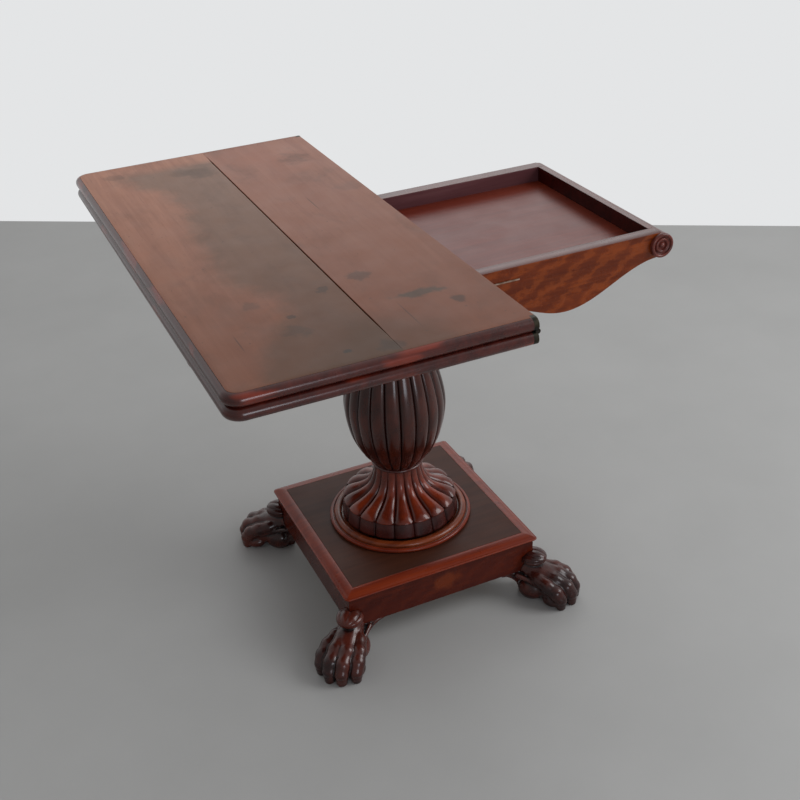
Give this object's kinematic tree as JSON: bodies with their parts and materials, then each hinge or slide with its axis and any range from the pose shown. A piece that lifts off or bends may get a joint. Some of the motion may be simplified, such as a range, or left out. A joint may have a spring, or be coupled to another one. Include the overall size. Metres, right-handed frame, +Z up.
{
  "type": "card table",
  "caption": "Pedestal card table whose folding double-leaf top swivels over a shallow frieze well, on a lobed column, square plinth and paw feet.",
  "frame": {"origin": "on the floor, on the axis of the pedestal, in the middle of the four feet", "axes": "+Z up; +X along the frieze box towards the open end of the well; -Y towards the shaped apron"},
  "size_m": [0.8365, 0.93, 0.72],
  "materials": {
    "top_wood": "faded, sun-bleached mahogany boards under worn polish",
    "edging_wood": "dark french-polished mahogany bead",
    "flame_veneer": "french-polished flame mahogany veneer",
    "turned_wood": "french-polished carved and turned mahogany",
    "ring_wood": "french-polished turned mahogany, worn to orange on its crown",
    "plinth_veneer": "french-polished mahogany veneer",
    "foot_wood": "carved mahogany, dark and glossy with old polish",
    "well_wood": "plain mahogany, thinly polished",
    "secondary_wood": "unpolished pine carcass wood",
    "brass": "aged brass",
    "iron": "forged iron, dark"
  },
  "bodies": {
    "base": {"foot_front_left": "foot_wood", "foot_front_right": "foot_wood", "foot_rear_left": "foot_wood", "foot_rear_right": "foot_wood", "foot_screws": "iron", "plinth_bottom_board": "secondary_wood", "plinth_rail_front": "plinth_veneer", "plinth_rail_back": "plinth_veneer", "plinth_rail_left": "plinth_veneer", "plinth_rail_right": "plinth_veneer", "plinth_corner_blocks": "secondary_wood", "plinth_core_block": "secondary_wood", "plinth_top_panel": "plinth_veneer", "plinth_edge_moulding": "plinth_veneer", "column_ring": "ring_wood", "column_foot": "turned_wood", "column_neck_ring": "turned_wood", "column_vase": "turned_wood", "column_cap": "turned_wood", "head_block": "secondary_wood", "head_block_screws": "iron", "bearer_left": "secondary_wood", "bearer_right": "secondary_wood", "front_apron": "flame_veneer", "apron_fillet": "brass", "back_rail": "flame_veneer", "end_rail_left": "flame_veneer", "end_rail_right": "flame_veneer", "bolster_left": "flame_veneer", "bolster_right": "flame_veneer", "roundel_left": "turned_wood", "roundel_right": "turned_wood", "well_floor": "well_wood", "well_divider": "well_wood", "deck_board": "secondary_wood", "deck_runners": "secondary_wood", "pivot_bush": "brass", "stop_blocks": "well_wood"},
    "lower_leaf": {"pivot_stud": "iron", "pivot_washer": "iron", "pivot_nut": "iron", "pivot_plate_screws": "iron", "stop_peg": "well_wood", "lower_panel": "top_wood", "lower_edging_long": "edging_wood", "lower_edging_near": "edging_wood", "lower_edging_far": "edging_wood", "hinge_plate_lower_near": "brass", "hinge_plate_lower_far": "brass", "hinge_pins": "iron", "hinge_screws_lower": "brass"},
    "upper_leaf": {"upper_board_wide": "top_wood", "upper_board_narrow": "top_wood", "upper_edging_long": "edging_wood", "upper_edging_near": "edging_wood", "upper_edging_far": "edging_wood", "hinge_plate_upper_near": "brass", "hinge_plate_upper_far": "brass", "hinge_screws_upper": "brass"}
  },
  "joints": [
    {"name": "top_swivel", "type": "hinge", "parent": "base", "child": "lower_leaf", "pos_m": [-0.07825, 0.11275, 0.6797], "axis": [0, 0, 1], "range_deg": [0, 90]},
    {"name": "leaf_fold", "type": "hinge", "parent": "lower_leaf", "child": "upper_leaf", "pos_m": [0.03, 0.022, 0.69975], "axis": [0, 1, 0], "range_deg": [0, 180]}
  ]
}
